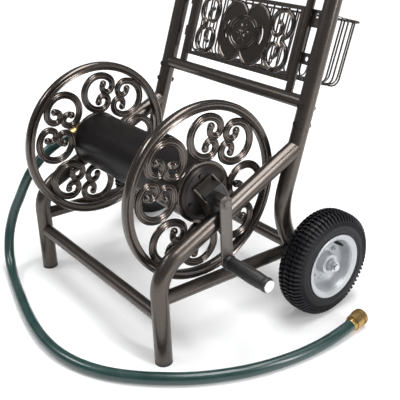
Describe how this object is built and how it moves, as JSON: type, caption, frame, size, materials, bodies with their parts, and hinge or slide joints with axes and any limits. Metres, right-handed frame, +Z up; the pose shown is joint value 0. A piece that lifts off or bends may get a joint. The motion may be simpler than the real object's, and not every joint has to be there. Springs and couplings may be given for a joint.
{
  "type": "garden hose reel cart",
  "caption": "Two-wheeled garden hose reel cart with a bent tube frame, ornate cast reel discs, side crank, wire basket and a short leader hose with brass coupling.",
  "frame": {"origin": "on the floor, under the middle of the cart's own box without the hose", "axes": "+Z up, the reel and the wheel axle run along X with the crank on +X, the wheels and the handle are towards +Y"},
  "size_m": [0.7067, 0.7459, 1.075],
  "materials": {
    "frame_paint": "semi-gloss metallic powder coat",
    "cast_paint": "semi-gloss metallic powder coat on castings",
    "foam": "matte foam",
    "cap_plastic": "matte",
    "bearing_plastic": "satin moulded",
    "drum_paint": "satin black",
    "basket_coat": "satin coated wire",
    "hub_paint": "satin dark bronze",
    "black_zinc": "black zinc plated",
    "shaft_paint": "satin black",
    "zinc": "zinc plated",
    "crank_paint": "satin grey metallic",
    "grip_plastic": "satin moulded",
    "sleeve_chrome": "bright",
    "tyre_rubber": "matte",
    "rim_silver": "satin silver paint",
    "valve_rubber": "matte",
    "bush_plastic": "matte",
    "brass": "worn machined brass",
    "hose_vinyl": "glossy flexible vinyl",
    "seal_rubber": "matte"
  },
  "bodies": {
    "cart": {"front_leg_left": "frame_paint", "front_leg_right": "frame_paint", "rear_leg_left": "frame_paint", "rear_leg_right": "frame_paint", "leg_caps": "cap_plastic", "side_rail_left": "frame_paint", "side_rail_right": "frame_paint", "front_crossbar": "frame_paint", "axle_tube": "frame_paint", "handle_tube": "frame_paint", "handle_grip": "foam", "handle_lower_bar": "frame_paint", "handle_upper_bar": "frame_paint", "panel_posts": "frame_paint", "panel_frame": "frame_paint", "panel_casting": "cast_paint", "basket_rim": "basket_coat", "basket_front_wires": "basket_coat", "basket_back_wires": "basket_coat", "basket_left_wires": "basket_coat", "basket_right_wires": "basket_coat", "basket_floor_wires": "basket_coat", "basket_clips": "basket_coat", "handle_bolts": "black_zinc", "bracket_left": "frame_paint", "bracket_right": "frame_paint", "bearing_left": "bearing_plastic", "bearing_right": "bearing_plastic", "wheel_axle": "zinc", "axle_spacers": "zinc", "axle_nuts": "zinc", "inlet_elbow": "brass", "inlet_seal": "seal_rubber", "hose_inlet_nut": "brass", "hose": "hose_vinyl", "coupling_tail": "brass"},
    "reel": {"reel_disc_left": "cast_paint", "reel_disc_right": "cast_paint", "reel_drum": "drum_paint", "reel_shaft": "shaft_paint", "hub_cap_left": "hub_paint", "hub_cap_right": "hub_paint", "hub_bolts": "black_zinc", "drum_outlet": "brass", "crank_arm": "crank_paint", "crank_nut": "crank_paint", "crank_spindle": "zinc"},
    "grip": {"crank_grip": "grip_plastic", "grip_sleeve": "sleeve_chrome"},
    "wheel_left": {"tyre_left": "tyre_rubber", "rim_left": "rim_silver", "wheel_bush_left": "bush_plastic", "valve_left": "valve_rubber"},
    "wheel_right": {"tyre_right": "tyre_rubber", "rim_right": "rim_silver", "wheel_bush_right": "bush_plastic", "valve_right": "valve_rubber"},
    "coupling": {"coupling_nut": "brass", "coupling_washer": "seal_rubber"}
  },
  "joints": [
    {"name": "reel_spin", "type": "hinge", "parent": "cart", "child": "reel", "pos_m": [-0.0155, -0.15164, 0.278], "axis": [1, 0, 0], "continuous": true},
    {"name": "grip_spin", "type": "hinge", "parent": "reel", "child": "grip", "pos_m": [0.2845, -0.15164, 0.165], "axis": [1, 0, 0], "continuous": true},
    {"name": "wheel_left_spin", "type": "hinge", "parent": "cart", "child": "wheel_left", "pos_m": [-0.3005, 0.05236, 0.103], "axis": [1, 0, 0], "continuous": true},
    {"name": "wheel_right_spin", "type": "hinge", "parent": "cart", "child": "wheel_right", "pos_m": [0.2695, 0.05236, 0.103], "axis": [1, 0, 0], "continuous": true},
    {"name": "coupling_swivel", "type": "hinge", "parent": "cart", "child": "coupling", "pos_m": [0.3595, 0.02836, 0.0164], "axis": [-0.1392, 0.9903, 0], "continuous": true}
  ]
}
